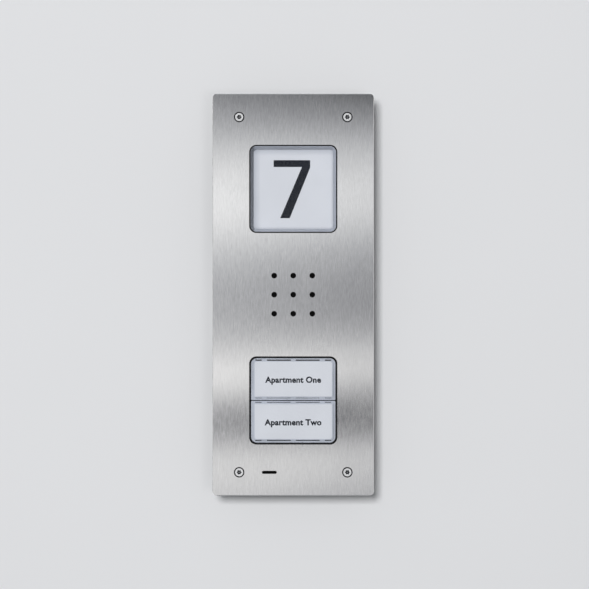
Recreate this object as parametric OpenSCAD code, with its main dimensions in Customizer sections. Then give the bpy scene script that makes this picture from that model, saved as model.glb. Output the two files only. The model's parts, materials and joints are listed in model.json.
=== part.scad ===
// Surface-mounted audio door station: a brushed steel front plate with a lit house number,
// a loudspeaker, two call buttons and a microphone, on a plastic housing screwed to the wall.
//
// Frame: +X to the right and +Z up as a visitor sees it, +Y into the wall. The origin lies on the
// wall, at the centre of the four wall-screw holes. "Depth" below is measured back from the
// front face of the steel plate, so a depth of panel_depth is the wall itself.

/* [Front plate] */
// Width of the steel plate
panel_w = 100; // [98:0.5:106]
// Height of the steel plate
panel_h = 249; // [247:0.5:256]
// Total depth from the wall to the front face
panel_depth = 23; // [23:0.5:30]
// Thickness of the steel plate
plate_t = 2; // [2:0.1:2.2]
// Corner radius of the steel plate
plate_corner_r = 3; // [1:0.5:5]
// Chamfer round the plate's front edge
plate_chamfer = 0.35; // [0.1:0.05:0.6]
// Side of the two square windows
window_side = 54.6; // [54.4:0.1:54.8]
// Corner radius of the windows
window_r = 4.5; // [4.2:0.1:5]
// Height of each window's centre above and below the middle
window_z = 65.5; // [64:0.5:67]

/* [Grille and microphone slot] */
// Pitch of the nine sound holes
grille_pitch = 11.8; // [9:0.1:12]
// Diameter of a sound hole
grille_hole_d = 3.5; // [2:0.1:4]
// Length of the microphone slot
mic_slot_l = 9.2; // [6:0.1:10]
// Height of the microphone slot
mic_slot_h = 1.9; // [1.5:0.1:2.2]
// Sideways place of the microphone slot
mic_x = -14.8; // [-16:0.1:-13]

/* [Screws] */
// Sideways spacing of the front screws
screw_spacing_x = 67; // [66:0.5:68]
// Upright spacing of the front screws
screw_spacing_z = 220; // [218:0.5:222]
// Diameter of the front screws' countersunk heads
screw_head_d = 5; // [4.9:0.1:5.3]
// Sideways spacing of the wall-screw holes
wall_spacing_x = 56; // [50:1:60]
// Upright spacing of the wall-screw holes
wall_spacing_z = 190; // [184:1:194]
// Diameter of the wall-screw holes
wall_hole_d = 4.6; // [4:0.1:5.5]

/* [Housing] */
// How far the steel plate stands out beyond the housing on every side
plate_overhang = 3; // [2:0.5:4]
// Thickness of the housing's side walls
housing_wall = 2.2; // [2:0.1:2.4]
// Thickness of the housing's back wall
housing_back = 2.5; // [2.3:0.1:3]
// Width of the cable window in the back wall
cable_window_w = 34; // [30:1:38]
// Height of the cable window in the back wall
cable_window_h = 22; // [18:1:24]
// Height of the cable window's centre
cable_window_z = -30; // [-34:1:-26]

/* [Call buttons] */
// Width of a call button
button_w = 52.2; // [52:0.1:52.5]
// Height of a call button
button_h = 25.8; // [25.6:0.1:26]
// Gap between the two call buttons
button_gap = 0.6; // [0.4:0.1:0.8]
// How far a call button moves when it is pressed
button_travel = 1; // [0.6:0.1:1]

/* [Hidden] */
$fn = 48;

// Fits and small gaps
slip = 0.2;
close_fit = 0.05;
eps = 0.01;

// Depths of the layers behind the plate's front face
gasket_t = 1;
rim_depth = plate_t + gasket_t;
carrier_t = 2;
carrier_back = plate_t + carrier_t;
board_front = 9.5;
board_t = 1.6;
board_back = board_front + board_t;
back_wall_front = panel_depth - housing_back;

// Housing outline
housing_w = panel_w - 2 * plate_overhang;
housing_h = panel_h - 2 * plate_overhang;
housing_r = 4;
boss_d = 8;
boss_hole_depth = 14;
insert_d = 4.6;
insert_l = 6;
seal_groove_w = 2.6;
seal_groove_t = 1.2;
seal_inset = 2.4;
grommet_wall = 2.2;
grommet_lip = 1.2;

// Front screws
screw_d = 2.9;
screw_l = 10;
screw_sunk = 0.1;
screw_rim_t = 0.25;
screw_clear_d = 3.4;
countersink_d = 6.5;
countersink_rim = 0.3;
seal_front = 0.2;
seal_back = 1.8;
drive_d = 3.1;
drive_depth = 0.9;
drive_floor_t = 0.6;
tamper_pin_d = 0.9;

// Carrier
carrier_w = 88;
carrier_h = 204;
tongue_w = 56;
tongue_h = 232;
collar_side = window_side - 0.4;
collar_top = 0.35;
button_well_side = 52.9;
button_well_r = 3.7;
number_well_side = 53.1;
number_well_r = 3.75;
pillar_d = 6.5;
stud_d = 2.5;
stud_x = 38;
stud_z = 94;
stud_end = 7;
nut_t = 2;
nut_af = 5;

// House number window
bezel_side = 52.9;
bezel_r = 3.65;
bezel_top = 0.3;
bezel_back = 5;
bezel_flange_side = 56.4;
slope_outer = 52.5;
slope_inner = 49.5;
slope_end = 3.6;
pocket_start = 3.8;
pocket_side = 51.8;
pane_t = 0.8;
film_back = 5;
film_t = 0.25;
digit_t = 0.1;
digit_h = 36;
digit_bar = 4.2;
digit_left = -12.2;
digit_right = 10.5;

// Call buttons
button_top = 0.2;
button_bevel = 0.35;
button_outer_r = 3.5;
button_inner_r = 0.5;
cover_wall = 1;
cover_front_t = 1.2;
cover_end = 3.2;
label_t = 0.3;
label_inset = 2.1;
rim_flange_inset = 0.15;
rim_flange_end = 3.8;
notch_start = 0.9;
outer_notch = 0.7;
inner_notch = 0.35;
block_inset = 1.35;
notch_spans = [[-23.5, -19.6], [-16.4, -1.6], [1.6, 16.4], [19.6, 23.5]];
button_plate_end = 4.4;
lug_t = 1;
lug_reach = 28.6;
guide_post_x = 19;
guide_post_d = 2.6;
guide_post_end = 9.3;
spring_d = 4.2;
spring_wire = 0.4;
spring_turns = 4.5;
guide_plate_front = 8;

// Switches under the call buttons
switch_side = 6.2;
switch_front = 6;
plunger_d = 3.4;
plunger_front = 5;
plunger_flange_d = 4.8;
plunger_flange_depth = 7;
plunger_flange_t = 0.5;

// Loudspeaker
speaker_d = 40;
speaker_opening_d = 34;
speaker_flange_front = 4.8;
speaker_flange_t = 0.6;
cone_d = 32;
cone_t = 0.25;
magnet_d = 19;
magnet_front = 8.2;
magnet_back = 12;
coil_inner_r = 6.3;
coil_outer_r = 6.9;
gap_inner_r = 6;
gap_outer_r = 7.2;
speaker_screw_r = 22.5;
speaker_screw_angles = [30, 150, 270];

// Microphone
mic_z = -screw_spacing_z / 2;
mic_boot_d = 13;
mic_capsule_d = 9.7;
mic_capsule_front = 4.2;
mic_capsule_t = 4.5;
felt_t = 0.4;

// Circuit board
board_w = 84;
board_h = 196;
board_screw_x = 38;
board_screw_rows = [-80, 0, 80];
dial_x = 30;
dial_z = 30;
terminal_pitch = 5.08;
terminal_poles = 4;
terminal_z = -66;
terminal_t = 8;

// Lead routes as [x, depth, z], from the part to the board
speaker_lead_route = [
    [0, 6.3, 19.4], [0, 6.9, 20.6], [0, 7.8, 21.6], [0, 8.4, 22.8], [0, 8.6, 24.2], [0, 8.8, 25.6],
    [0, 9.1, 26.6], [0, 9.5, 27.2]
];
mic_lead_route = [
    [0, 8.7, -110], [0, 9.8, -110], [0, 11.2, -109.6], [0, 12.3, -108.4], [0, 12.9, -106.6],
    [0, 13.1, -104.4], [0, 13.0, -102], [0, 12.6, -99.8], [0, 12.2, -97.8], [0, 11.8, -96.2],
    [0, 11.1, -95.2]
];

// ---- Helpers -------------------------------------------------------------------------------

// Y of a plane at this depth behind the plate's front face
function y_at(depth) = depth - panel_depth;

// A flat shape drawn in X and Z, made solid between two depths
module layer(front, back) {
    translate([0, y_at(back), 0]) rotate([90, 0, 0]) linear_extrude(back - front) children();
}

// A round bar along Y between two depths
module bar(d, front, back, x = 0, z = 0) {
    translate([x, y_at(front), z]) rotate([-90, 0, 0]) cylinder(d = d, h = back - front);
}

// A cone along Y: d1 at the front depth and d2 at the back depth
module taper(d1, d2, front, back, x = 0, z = 0) {
    translate([x, y_at(front), z]) rotate([-90, 0, 0]) cylinder(d1 = d1, d2 = d2, h = back - front);
}

// A solid turned about an axis along Y: points are [radius, depth]
module turned(points, x = 0, z = 0) {
    translate([x, 0, z]) rotate([-90, 0, 0])
        rotate_extrude($fn = 96) polygon([for (p = points) [p[0], y_at(p[1])]]);
}

// A rectangle with round corners
module rounded(w, h, r) {
    square([w - 2 * r, h], center = true);
    square([w, h - 2 * r], center = true);
    for (x = [-1, 1], z = [-1, 1])
        translate([x * (w / 2 - r), z * (h / 2 - r)]) circle(r);
}

// A rectangle with its top corners at one radius and its bottom corners at another
module rounded_top(w, h, r_top, r_bottom) {
    translate([0, (r_bottom - r_top) / 2]) square([w, h - r_top - r_bottom], center = true);
    translate([0, h / 2 - r_top]) square([w - 2 * r_top, 2 * r_top], center = true);
    translate([0, r_bottom - h / 2]) square([w - 2 * r_bottom, 2 * r_bottom], center = true);
    for (x = [-1, 1]) {
        translate([x * (w / 2 - r_top), h / 2 - r_top]) circle(r_top);
        translate([x * (w / 2 - r_bottom), r_bottom - h / 2]) circle(r_bottom);
    }
}

// A block with its face centre at [x, z] between two depths
module block(w, h, front, back, x = 0, z = 0) {
    translate([x, 0, z]) layer(front, back) square([w, h], center = true);
}

// Children at the four corners of a rectangle
module at_corners(spacing_x, spacing_z) {
    for (x = [-1, 1], z = [-1, 1])
        translate([x * spacing_x / 2, 0, z * spacing_z / 2]) children();
}

// A round wire swept along points, as one closed solid of flat faces
module swept_wire(points, d, sides = 8) {
    last = len(points) - 1;
    function along(i) = let (v = points[min(i + 1, last)] - points[max(i - 1, 0)]) v / norm(v);
    function side_of(t) = let (n = cross(t, abs(t[0]) < 0.8 ? [1, 0, 0] : [0, 0, 1])) n / norm(n);
    rings = [
        for (i = [0:last]) let (t = along(i), n = side_of(t), b = cross(t, n))
            for (k = [0:sides - 1])
                points[i] + d / 2 * (cos(360 * k / sides) * n + sin(360 * k / sides) * b)
    ];
    walls = [
        for (i = [0:last - 1], k = [0:sides - 1])
            let (j = (k + 1) % sides)
                [i * sides + k, (i + 1) * sides + k, (i + 1) * sides + j, i * sides + j]
    ];
    start_cap = [[for (k = [0:sides - 1]) k]];
    end_cap = [[for (k = [sides - 1:-1:0]) last * sides + k]];
    polyhedron(rings, concat(walls, start_cap, end_cap), convexity = 4);
}

// ---- Front plate and its screws ------------------------------------------------------------

module sound_holes(d, front, back) {
    for (column = [-1:1], row = [-1:1])
        bar(d, front, back, column * grille_pitch, row * grille_pitch);
}

module mic_slot(front, back, length = mic_slot_l) {
    translate([mic_x, 0, mic_z]) layer(front, back) rounded(length, mic_slot_h, mic_slot_h / 2 - eps);
}

// The plate's outline, chamfered along its four straight front edges
module plate_blank() {
    c = plate_chamfer;
    intersection() {
        layer(0, plate_t) rounded(panel_w, panel_h, plate_corner_r);
        translate([0, 0, -panel_h / 2]) linear_extrude(panel_h) polygon([
            [-panel_w / 2, y_at(plate_t)], [-panel_w / 2, y_at(c)], [-panel_w / 2 + c, y_at(0)],
            [panel_w / 2 - c, y_at(0)], [panel_w / 2, y_at(c)], [panel_w / 2, y_at(plate_t)]
        ]);
        translate([-panel_w / 2, 0, 0]) rotate([90, 0, 90]) linear_extrude(panel_w) polygon([
            [y_at(plate_t), -panel_h / 2], [y_at(c), -panel_h / 2], [y_at(0), c - panel_h / 2],
            [y_at(0), panel_h / 2 - c], [y_at(c), panel_h / 2], [y_at(plate_t), panel_h / 2]
        ]);
    }
}

module front_plate() {
    color("silver") {
        difference() {
            plate_blank();
            for (z = [-1, 1])
                translate([0, 0, z * window_z])
                    layer(-1, plate_t + 1) rounded(window_side, window_side, window_r);
            sound_holes(grille_hole_d, -1, plate_t + 1);
            mic_slot(-1, plate_t + 1);
            at_corners(screw_spacing_x, screw_spacing_z) {
                bar(screw_clear_d, -1, plate_t + 1);
                bar(countersink_d, -1, countersink_rim);
                countersink_cone(0);
            }
        }
        at_corners(2 * stud_x, 2 * stud_z) bar(stud_d, plate_t - eps, stud_end);
    }
}

// The space under a countersink's rim, made smaller all round by inset
module countersink_cone(inset) {
    d = countersink_d - 2 * inset;
    taper(d, screw_clear_d, countersink_rim - eps, countersink_rim + (d - screw_clear_d) / 2);
}

// Six-lobed socket of a tamper-proof drive
module lobed_socket(d, front, back) {
    layer(front, back) polygon([
        for (a = [0:7.5:352.5]) (0.43 + 0.07 * cos(6 * a)) * d * [cos(a), sin(a)]
    ]);
}

// The outside of a countersunk head and its shank, grown all round by grow
module screw_outside(grow = 0) {
    rim_end = screw_sunk + screw_rim_t;
    head = screw_head_d + 2 * grow;
    shank = screw_d + 2 * grow;
    bar(head, screw_sunk, rim_end + eps);
    taper(head, shank, rim_end, rim_end + (head - shank) / 2);
    bar(shank, rim_end + (head - shank) / 2 - eps, screw_l);
}

module front_screw() {
    floor_start = screw_sunk + drive_depth;
    difference() {
        screw_outside();
        lobed_socket(drive_d, 0, floor_start);
        taper(drive_d - 0.6, 0.2, floor_start - eps, floor_start + drive_floor_t);
    }
    bar(tamper_pin_d, screw_sunk + 0.3, floor_start + drive_floor_t);
}

module front_screws() {
    color("gainsboro") at_corners(screw_spacing_x, screw_spacing_z) front_screw();
}

// Thin black washers that seal the countersinks and show as a dark ring round each head
module screw_seals() {
    color([0.05, 0.05, 0.05]) at_corners(screw_spacing_x, screw_spacing_z) difference() {
        intersection() {
            union() {
                bar(countersink_d - 0.04, seal_front, countersink_rim);
                countersink_cone(0.03);
            }
            bar(countersink_d, seal_front, seal_back);
        }
        screw_outside(0.03);
    }
}

module plate_gasket() {
    color("dimgray") difference() {
        union() {
            difference() {
                layer(plate_t, rim_depth) rounded(housing_w - 0.4, housing_h - 0.4, housing_r);
                layer(plate_t - 1, rim_depth + 1)
                    rounded(housing_w - 2 * housing_wall, housing_h - 2 * housing_wall, housing_r / 2);
            }
            at_corners(screw_spacing_x, screw_spacing_z) bar(boss_d, plate_t, rim_depth);
            // Bridges join the screw pads to the frame
            at_corners(screw_spacing_x, screw_spacing_z + 10.5) block(3, 10.5, plate_t, rim_depth);
        }
        at_corners(screw_spacing_x, screw_spacing_z) bar(screw_clear_d, plate_t - 1, rim_depth + 1);
    }
}

// ---- Housing -------------------------------------------------------------------------------

module seal_ring(side_gap, front, back) {
    outer_w = housing_w - 2 * seal_inset - 2 * side_gap;
    outer_h = housing_h - 2 * seal_inset - 2 * side_gap;
    inner_w = housing_w - 2 * seal_inset - 2 * seal_groove_w + 2 * side_gap;
    inner_h = housing_h - 2 * seal_inset - 2 * seal_groove_w + 2 * side_gap;
    difference() {
        layer(front, back) rounded(outer_w, outer_h, 3);
        layer(front - 1, back + 1) rounded(inner_w, inner_h, 1.5);
    }
}

// A moulded arrow that shows which way up the housing goes
module up_arrow() {
    translate([0, 0, 100]) layer(panel_depth - 0.6, panel_depth + 1) {
        polygon([[-5, 0], [5, 0], [0, 7]]);
        translate([-1.5, -8]) square([3, 8.5]);
    }
}

module rear_housing() {
    color([0.16, 0.17, 0.18]) difference() {
        union() {
            difference() {
                layer(rim_depth, panel_depth) rounded(housing_w, housing_h, housing_r);
                layer(rim_depth - 1, back_wall_front)
                    rounded(housing_w - 2 * housing_wall, housing_h - 2 * housing_wall, housing_r / 2);
            }
            at_corners(screw_spacing_x, screw_spacing_z) bar(boss_d, rim_depth, back_wall_front + eps);
            // Gussets brace each screw boss to the end wall
            at_corners(screw_spacing_x, housing_h - 2 * housing_wall - 8)
                block(1.8, 8.4, rim_depth + 3, back_wall_front + eps);
            // Raised pads carry the wall screws
            at_corners(wall_spacing_x, wall_spacing_z) bar(11, back_wall_front - 1, back_wall_front + eps);
            // A raised frame holds the cable grommet
            translate([0, 0, cable_window_z]) layer(back_wall_front - 1.5, back_wall_front + eps)
                rounded(cable_window_w + 4, cable_window_h + 4, 3);
        }
        at_corners(screw_spacing_x, screw_spacing_z) {
            bar(insert_d + 2 * close_fit, rim_depth - 1, rim_depth + insert_l + 0.2);
            bar(screw_clear_d, rim_depth, boss_hole_depth);
        }
        at_corners(wall_spacing_x, wall_spacing_z) bar(wall_hole_d, back_wall_front - 2, panel_depth + 1);
        translate([0, 0, cable_window_z]) layer(back_wall_front - 2, panel_depth + 1)
            rounded(cable_window_w, cable_window_h, 2);
        seal_ring(0, panel_depth - seal_groove_t, panel_depth + 1);
        up_arrow();
        // Drain holes at the foot
        for (x = [-20, 20])
            translate([x, y_at(back_wall_front - 3), -panel_h / 2]) cylinder(d = 3, h = 10);
    }
}

module threaded_inserts() {
    color("goldenrod") at_corners(screw_spacing_x, screw_spacing_z) difference() {
        union() {
            for (i = [0:2]) bar(insert_d, rim_depth + 2 * i + eps, rim_depth + 2 * i + 1.4);
            bar(insert_d - 0.5, rim_depth + eps, rim_depth + insert_l);
        }
        bar(screw_d + 0.2, rim_depth - 1, rim_depth + insert_l + 1);
    }
}

module wall_seal() {
    color([0.1, 0.1, 0.1]) seal_ring(close_fit, panel_depth - seal_groove_t + close_fit, panel_depth);
}

// A rubber frame that lines the cable window and lips over its inner edge
module cable_grommet() {
    color([0.12, 0.12, 0.12]) translate([0, 0, cable_window_z]) difference() {
        union() {
            layer(back_wall_front - 1.5 - grommet_lip, panel_depth - 0.2)
                rounded(cable_window_w - 2 * close_fit, cable_window_h - 2 * close_fit, 2);
            layer(back_wall_front - 1.5 - grommet_lip, back_wall_front - 1.5 - close_fit)
                rounded(cable_window_w + 3, cable_window_h + 3, 3);
        }
        layer(back_wall_front - 4, panel_depth + 1)
            rounded(cable_window_w - 2 * grommet_wall, cable_window_h - 2 * grommet_wall, 2);
    }
}

// ---- Carrier behind the plate --------------------------------------------------------------

module inner_carrier() {
    color([0.08, 0.08, 0.09]) difference() {
        union() {
            layer(plate_t, carrier_back) {
                rounded(carrier_w, carrier_h, 2);
                rounded(tongue_w, tongue_h, 2);
            }
            for (z = [-1, 1])
                translate([0, 0, z * window_z])
                    layer(collar_top, plate_t + eps) rounded(collar_side, collar_side, window_r - slip);
            for (x = [-1, 1], z = board_screw_rows)
                bar(pillar_d, carrier_back - eps, board_front, x * board_screw_x, z);
            for (a = speaker_screw_angles)
                bar(4.5, carrier_back - eps, speaker_flange_front + speaker_flange_t,
                    speaker_screw_r * cos(a), speaker_screw_r * sin(a));
        }
        translate([0, 0, window_z]) layer(0, carrier_back + 1)
            rounded(number_well_side, number_well_side, number_well_r);
        translate([0, 0, -window_z]) layer(0, carrier_back + 1)
            rounded(button_well_side, button_well_side, button_well_r);
        bar(speaker_d - 1.6, 0, plate_t + 0.35);
        bar(speaker_opening_d, 0, carrier_back + 1);
        bar(mic_boot_d + slip, 0, carrier_back + 1, mic_x, mic_z);
        at_corners(2 * stud_x, 2 * stud_z) bar(stud_d + 0.3, 0, carrier_back + 1);
        for (x = [-1, 1], z = board_screw_rows)
            bar(2.6, carrier_back + 1.2, board_front + 1, x * board_screw_x, z);
        for (a = speaker_screw_angles)
            bar(2, plate_t + 0.6, 7, speaker_screw_r * cos(a), speaker_screw_r * sin(a));
    }
}

module carrier_nuts() {
    color("lightgray") at_corners(2 * stud_x, 2 * stud_z) difference() {
        bar(nut_af / cos(30), carrier_back, carrier_back + nut_t, $fn = 6);
        bar(stud_d + 0.1, carrier_back - 1, carrier_back + nut_t + 1);
    }
}

// ---- House number window -------------------------------------------------------------------

// A pale frame whose inner walls slope in to the number, with a flange behind the carrier
module number_bezel() {
    color([0.8, 0.84, 0.88]) translate([0, 0, window_z]) difference() {
        union() {
            layer(bezel_top, carrier_back + close_fit + eps) rounded(bezel_side, bezel_side, bezel_r);
            layer(carrier_back + close_fit, bezel_back) rounded(bezel_flange_side, bezel_flange_side, 3);
        }
        hull() {
            layer(bezel_top - 0.5, bezel_top) rounded(slope_outer, slope_outer, 3.4, $fn = 32);
            layer(bezel_top, slope_end) rounded(slope_inner, slope_inner, 2, $fn = 32);
        }
        layer(0, bezel_back + 1) rounded(slope_inner, slope_inner, 2);
        layer(pocket_start, bezel_back + 1) rounded(pocket_side, pocket_side, 2);
    }
}

module number_cover() {
    color([0.85, 0.9, 0.95, 0.5]) translate([0, 0, window_z])
        layer(pocket_start + close_fit, pocket_start + close_fit + pane_t)
            rounded(pocket_side - 0.4, pocket_side - 0.4, 1.8);
}

// A plain grotesque digit: a bar along the top and a slanted stroke with a short upright shoulder
module house_number_digit() {
    foot_left = -8.1;
    foot_right = -2.2;
    stem_left = 5.4;
    shoulder = 4.6;
    color([0.1, 0.11, 0.12]) translate([0, 0, window_z])
        layer(film_back - film_t - digit_t, film_back - film_t) polygon([
            [digit_left, digit_h / 2], [digit_right, digit_h / 2], [digit_right, digit_h / 2 - shoulder],
            [foot_right, -digit_h / 2], [foot_left, -digit_h / 2], [stem_left, digit_h / 2 - digit_bar],
            [digit_left, digit_h / 2 - digit_bar]
        ]);
}

module number_film() {
    color([0.93, 0.95, 0.98]) translate([0, 0, window_z])
        layer(film_back - film_t, film_back) rounded(pocket_side - 0.4, pocket_side - 0.4, 1.8);
}

// A light box behind the number, on four legs that stand on the circuit board
module number_diffuser() {
    color([0.96, 0.97, 0.98]) translate([0, 0, window_z]) {
        layer(film_back + close_fit, film_back + 1.2) rounded(52, 52, 3);
        at_corners(42, 42) bar(4, film_back + 1, board_front - close_fit);
    }
}

// ---- Call buttons --------------------------------------------------------------------------

// Puts children at a button's centre: side is 1 for the upper button and -1 for the lower one
module at_button(side) {
    translate([0, 0, -window_z + side * (button_h + button_gap) / 2]) children();
}

// A button's outline with its large corners at the window's end
module button_outline(side, inset = 0) {
    w = button_w - 2 * inset;
    h = button_h - 2 * inset;
    large = max(button_outer_r - inset, 0.4);
    small = max(button_inner_r - inset / 2, 0.3);
    rounded_top(w, h, side > 0 ? large : small, side > 0 ? small : large);
}

module button_cover(side) {
    color([0.88, 0.91, 0.96, 0.5]) at_button(side) difference() {
        hull() {
            layer(button_top, button_top + button_bevel) button_outline(side, button_bevel, $fn = 32);
            layer(button_top + button_bevel, cover_end) button_outline(side, 0, $fn = 32);
        }
        layer(button_top + cover_front_t, cover_end + 1) button_outline(side, cover_wall);
    }
}

module name_label(side) {
    label_front = button_top + cover_front_t + close_fit;
    color([0.9, 0.92, 0.94]) at_button(side)
        layer(label_front, label_front + label_t) button_outline(side, label_inset);
}

// The white block under the label and the cover's rim. Long slots along its top and bottom edges
// show the black body, and leave three white tabs between them.
module button_diffuser(side) {
    front = button_top + cover_front_t + label_t + 2 * close_fit;
    edge = button_h / 2 - notch_start;
    color("white") at_button(side) difference() {
        union() {
            layer(front, cover_end + close_fit + eps) button_outline(side, block_inset);
            layer(cover_end + close_fit, rim_flange_end) button_outline(side, rim_flange_inset);
        }
        for (end = [-1, 1], span = notch_spans) {
            depth = end == side ? outer_notch : inner_notch;
            translate([span[0], 0, end > 0 ? edge - depth : -edge]) layer(front - 1, cover_end + 1)
                square([span[1] - span[0], depth]);
        }
    }
}

module button_body(side) {
    color([0.09, 0.09, 0.1]) at_button(side) {
        difference() {
            layer(rim_flange_end + close_fit, button_plate_end) button_outline(side, 0.2);
            for (x = [-1, 1]) block(6, 6, cover_end, button_plate_end + 1, x * 10);
        }
        for (x = [-1, 1]) {
            block(lug_reach - 24.5, 8, button_plate_end - eps, button_plate_end + lug_t,
                x * (lug_reach + 24.5) / 2);
            bar(guide_post_d, button_plate_end - eps, guide_post_end, x * guide_post_x);
        }
        bar(4, button_plate_end - eps, plunger_front - 0.1);
    }
}

// Two coil springs, one round each guide post
module button_springs(side) {
    start = button_plate_end + close_fit + spring_wire / 2;
    end = guide_plate_front - close_fit - spring_wire / 2;
    steps = 14;
    mean_r = (spring_d - spring_wire) / 2;
    color("silver") at_button(side) for (x = [-1, 1])
        swept_wire([
            for (i = [0:spring_turns * steps]) let (a = 360 * i / steps)
                [x * guide_post_x + mean_r * cos(a),
                 y_at(start + (end - start) * i / (spring_turns * steps)), mean_r * sin(a)]
        ], spring_wire, 8);
}

module button_guide_plate() {
    color([0.1, 0.1, 0.11]) difference() {
        translate([0, 0, -window_z]) layer(guide_plate_front, board_front) rounded(58, 56, 2);
        for (side = [-1, 1]) at_button(side) {
            for (x = [-1, 1]) bar(guide_post_d + 0.2, 0, board_front + 1, x * guide_post_x);
            block(switch_side + 0.6, switch_side + 0.6, 0, board_front + 1);
            for (x = [-1, 1]) block(5, 4, 0, board_front + 1, x * 10);
        }
    }
}

module switch_body(side) {
    color([0.2, 0.2, 0.22]) at_button(side) difference() {
        block(switch_side, switch_side, switch_front, board_front);
        bar(plunger_d + 0.2, switch_front - 1, plunger_flange_depth);
        bar(plunger_flange_d + 0.3, plunger_flange_depth - 0.2,
            plunger_flange_depth + plunger_flange_t + button_travel + 0.4);
    }
}

module switch_plunger(side) {
    color("firebrick") at_button(side) {
        bar(plunger_d, plunger_front, plunger_flange_depth + eps);
        bar(plunger_flange_d, plunger_flange_depth, plunger_flange_depth + plunger_flange_t);
    }
}

module upper_button_cover() { button_cover(1); }
module upper_name_label() { name_label(1); }
module upper_button_body() { button_body(1); }
module upper_button_springs() { button_springs(1); }
module upper_switch_body() { switch_body(1); }
module upper_switch_plunger() { switch_plunger(1); }
module upper_button_diffuser() { button_diffuser(1); }
module lower_button_cover() { button_cover(-1); }
module lower_name_label() { name_label(-1); }
module lower_button_body() { button_body(-1); }
module lower_button_diffuser() { button_diffuser(-1); }
module lower_button_springs() { button_springs(-1); }
module lower_switch_body() { switch_body(-1); }
module lower_switch_plunger() { switch_plunger(-1); }

// ---- Loudspeaker ---------------------------------------------------------------------------

module speaker_mesh() {
    color([0.05, 0.05, 0.05]) bar(speaker_d - 2, plate_t + eps, plate_t + 0.3);
}

module speaker_gasket() {
    color([0.15, 0.15, 0.15]) difference() {
        bar(speaker_d, carrier_back, speaker_flange_front);
        bar(speaker_opening_d + 0.4, carrier_back - 1, speaker_flange_front + 1);
    }
}

module speaker_basket() {
    f = speaker_flange_front;
    t = speaker_flange_t;
    color("dimgray") {
        difference() {
            turned([
                [16.6, f], [speaker_d / 2, f], [speaker_d / 2, f + t], [17.8, f + t],
                [magnet_d / 2 + 1, magnet_front], [gap_outer_r, magnet_front],
                [gap_outer_r, magnet_front - t], [magnet_d / 2 + 0.4, magnet_front - t], [16.6, f + t]
            ]);
            // Vents in the sloping wall
            for (a = [45:90:315]) rotate([0, a, 0]) block(6, 5, f + t + 0.3, magnet_front - t - 0.2, 13.5);
        }
        // Tag strip for the leads
        block(8, 4, f + t - eps, f + t + 0.9, 0, 18.4);
    }
}

module speaker_magnet() {
    color([0.25, 0.25, 0.27]) turned([
        [0, magnet_front - 0.6], [gap_inner_r, magnet_front - 0.6], [gap_inner_r, 11], [gap_outer_r, 11],
        [gap_outer_r, magnet_front + eps], [magnet_d / 2, magnet_front + eps],
        [magnet_d / 2, magnet_back - 0.5], [magnet_d / 2 - 0.5, magnet_back], [0, magnet_back]
    ]);
}

// Diaphragm with its half-round edge roll, dust cap and voice coil
module speaker_cone() {
    rim = cone_d / 2;
    roll_r = 1.1;
    roll_centre = rim - roll_r;
    front = speaker_flange_front + 0.2;
    color([0.75, 0.72, 0.62]) turned(concat(
        [for (a = [0:20:180]) [roll_centre + roll_r * cos(a), front - 0.7 * sin(a)]],
        [[coil_outer_r, front + 1.4], [4, front + 0.7], [0, front + 0.5]],
        [[0, front + 0.5 + cone_t], [4, front + 0.7 + cone_t], [coil_inner_r, front + 1.4 + cone_t],
         [coil_inner_r, front + 4.2], [coil_outer_r, front + 4.2], [coil_outer_r, front + 1.4 + cone_t]],
        [for (a = [180:-20:0]) [roll_centre + roll_r * cos(a), front + cone_t - 0.7 * sin(a)]]
    ));
}

module speaker_screws() {
    seat = speaker_flange_front + speaker_flange_t + close_fit;
    color("silver") for (a = speaker_screw_angles)
        translate([speaker_screw_r * cos(a), 0, speaker_screw_r * sin(a)]) difference() {
            union() {
                bar(6, seat, seat + 1.2);
                bar(1.9, plate_t + 0.8, seat + eps);
            }
            for (turn = [0, 90]) rotate([0, turn, 0]) block(2.6, 0.6, seat + 0.5, seat + 2);
        }
}

module lead_pair(route, x, spread, d) {
    for (side = [-1, 1])
        swept_wire([for (p = route) [x + side * spread + p[0], y_at(p[1]), p[2]]], d);
}

module speaker_leads() {
    color("crimson") lead_pair(speaker_lead_route, 0, 2, 1);
}

// ---- Microphone ----------------------------------------------------------------------------

module microphone_boot() {
    back = mic_capsule_front + mic_capsule_t - 0.5;
    color([0.1, 0.1, 0.1]) difference() {
        bar(mic_boot_d, plate_t + eps, back, mic_x, mic_z);
        mic_slot(0, mic_capsule_front, mic_slot_l);
        bar(mic_capsule_d + 2 * close_fit, mic_capsule_front - felt_t - close_fit, back + 1, mic_x, mic_z);
    }
}

module microphone_capsule() {
    color("lightgray") difference() {
        bar(mic_capsule_d, mic_capsule_front, mic_capsule_front + mic_capsule_t, mic_x, mic_z);
        bar(1.5, mic_capsule_front - 1, mic_capsule_front + 0.5, mic_x, mic_z);
    }
}

// A black felt disc on the capsule's front
module microphone_felt() {
    color([0.03, 0.03, 0.03])
        bar(mic_capsule_d - 0.6, mic_capsule_front - felt_t, mic_capsule_front, mic_x, mic_z);
}

module microphone_leads() {
    color("royalblue") lead_pair(mic_lead_route, mic_x, 1.3, 0.9);
}

// ---- Circuit board -------------------------------------------------------------------------

module circuit_board() {
    color([0.05, 0.32, 0.16]) difference() {
        layer(board_front, board_back) rounded(board_w, board_h, 1.5);
        bar(magnet_d + 3, 0, board_back + 1);
        for (x = [-1, 1], z = board_screw_rows) bar(2.8, 0, board_back + 1, x * board_screw_x, z);
        for (side = [-1, 1], x = [-1, 1])
            at_button(side) bar(guide_post_d + 1, 0, board_back + 1, x * guide_post_x);
    }
}

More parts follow.
